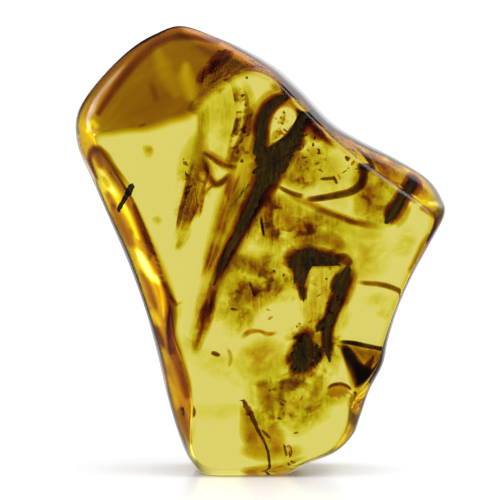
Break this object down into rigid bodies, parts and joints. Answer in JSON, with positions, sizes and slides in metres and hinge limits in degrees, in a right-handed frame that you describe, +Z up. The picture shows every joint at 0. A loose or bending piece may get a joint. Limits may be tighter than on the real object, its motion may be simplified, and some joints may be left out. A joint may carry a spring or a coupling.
{
  "type": "piece of amber",
  "caption": "Polished slab of clear honey-yellow amber standing on its narrow end, with a browner domed top and bark, stems and other plant debris sealed inside.",
  "frame": {"origin": "on the surface that the piece stands on, under the middle of its outline", "axes": "+Z up along the piece, +X to its right seen from the front, +Y from the front window to the back window"},
  "size_m": [0.0332, 0.0126, 0.04],
  "materials": {
    "amber": "polished, clear, honey yellow",
    "bark": "near-black brown, fibrous",
    "fibre": "orange-brown, fibrous",
    "scale": "amber-soaked leaf, translucent brown"
  },
  "bodies": {
    "root": {"amber_front": "amber", "amber_back": "amber", "bark_strip": "bark", "fibre_ribbon": "fibre", "stem_stub": "bark", "wood_splinter": "bark", "rootlet": "fibre", "twig": "bark", "bark_flake": "bark", "resin_clot": "bark", "bark_wedge": "bark", "leaf_scale": "scale", "bark_crumb": "bark"}
  },
  "joints": []
}
